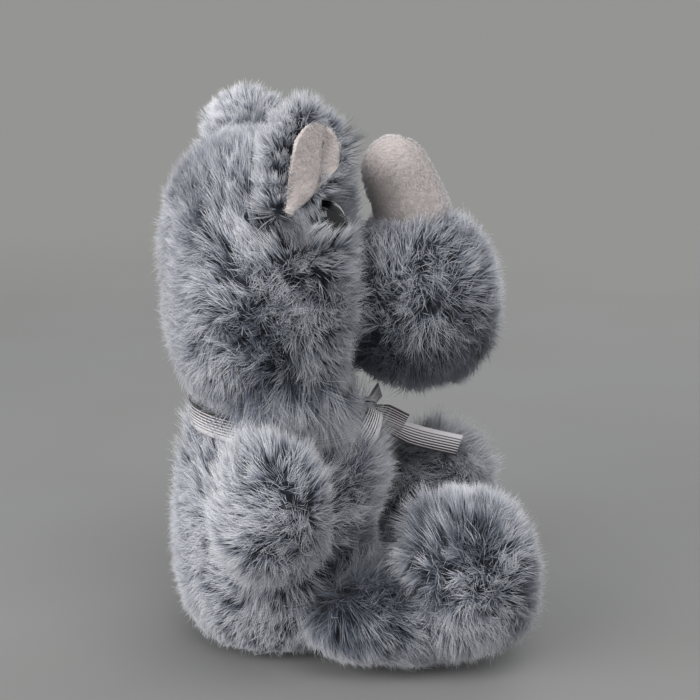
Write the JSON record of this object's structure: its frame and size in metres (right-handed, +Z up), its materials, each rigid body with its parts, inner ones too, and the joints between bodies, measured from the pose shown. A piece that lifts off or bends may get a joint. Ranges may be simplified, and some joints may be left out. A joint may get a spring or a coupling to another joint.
{
  "type": "plush rhino",
  "caption": "Sitting stuffed toy rhino in long frosted plush, with a velboa horn and ear linings, glossy eyes and a striped ribbon round its neck.",
  "frame": {"origin": "on the flat of the seat, under the middle of the body", "axes": "+Z up, the toy faces -Y, its right side is -X"},
  "size_m": [0.163, 0.1547, 0.2336],
  "materials": {
    "plush": "long frosted pile, dark at the root and pale at the tip",
    "velboa": "short brushed pile",
    "eye": "glossy black dome",
    "washer": "moulded",
    "wadding": "loose polyester fibre",
    "pouch": "plain weave",
    "ribbon": "ribbed grosgrain with black stripes"
  },
  "bodies": {
    "torso": {"torso_skin": "plush", "torso_stuffing": "wadding", "pellet_pouch": "pouch", "ribbon_band": "ribbon", "ribbon_knot": "ribbon", "ribbon_loop_right": "ribbon", "ribbon_loop_left": "ribbon", "ribbon_tail_right": "ribbon", "ribbon_tail_left": "ribbon"},
    "neck": {"neck_stuffing": "wadding"},
    "head": {"head_skin": "plush", "head_stuffing": "wadding", "snout_skin": "plush", "snout_stuffing": "wadding", "horn_skin": "velboa", "horn_stuffing": "wadding", "eye_right": "eye", "eye_left": "eye", "eye_washer_right": "washer", "eye_washer_left": "washer"},
    "ear_right": {"ear_back_right": "plush", "ear_lining_right": "velboa"},
    "arm_right": {"arm_skin_right": "plush", "arm_stuffing_right": "wadding"},
    "leg_right": {"thigh_skin_right": "plush", "foot_skin_right": "plush", "leg_stuffing_right": "wadding", "foot_sole_right": "plush"},
    "ear_left": {"ear_back_left": "plush", "ear_lining_left": "velboa"},
    "arm_left": {"arm_skin_left": "plush", "arm_stuffing_left": "wadding"},
    "leg_left": {"thigh_skin_left": "plush", "foot_skin_left": "plush", "leg_stuffing_left": "wadding", "foot_sole_left": "plush"}
  },
  "joints": [
    {"name": "neck_turn", "type": "hinge", "parent": "torso", "child": "neck", "pos_m": [0, 0, 0.104], "axis": [0, 0, 1], "range_deg": [-36, 14], "stiffness_Nm_per_rad": 0.3},
    {"name": "head_nod", "type": "hinge", "parent": "neck", "child": "head", "pos_m": [0, 0, 0.104], "axis": [0.9816, 0.1908, 0], "range_deg": [-7, 7], "stiffness_Nm_per_rad": 1.2},
    {"name": "shoulder_right", "type": "hinge", "parent": "torso", "child": "arm_right", "pos_m": [-0.0468, 0.006, 0.09], "axis": [1, 0, 0], "range_deg": [-40, 25], "stiffness_Nm_per_rad": 0.05},
    {"name": "hip_right", "type": "hinge", "parent": "torso", "child": "leg_right", "pos_m": [-0.0195, -0.026, 0.0195], "axis": [1, 0, 0], "range_deg": [-14, 3], "stiffness_Nm_per_rad": 0.6},
    {"name": "ear_flop_right", "type": "hinge", "parent": "head", "child": "ear_right", "pos_m": [-0.04915, 0.00369, 0.191], "axis": [0.515, -0.8572, 0], "range_deg": [0, 25], "stiffness_Nm_per_rad": 0.05},
    {"name": "shoulder_left", "type": "hinge", "parent": "torso", "child": "arm_left", "pos_m": [0.0468, 0.006, 0.09], "axis": [1, 0, 0], "range_deg": [-40, 25], "stiffness_Nm_per_rad": 0.05},
    {"name": "hip_left", "type": "hinge", "parent": "torso", "child": "leg_left", "pos_m": [0.0195, -0.026, 0.0195], "axis": [1, 0, 0], "range_deg": [-14, 3], "stiffness_Nm_per_rad": 0.6},
    {"name": "ear_flop_left", "type": "hinge", "parent": "head", "child": "ear_left", "pos_m": [0.04419, 0.02183, 0.191], "axis": [0.1564, 0.9877, 0], "range_deg": [0, 25], "stiffness_Nm_per_rad": 0.05}
  ]
}
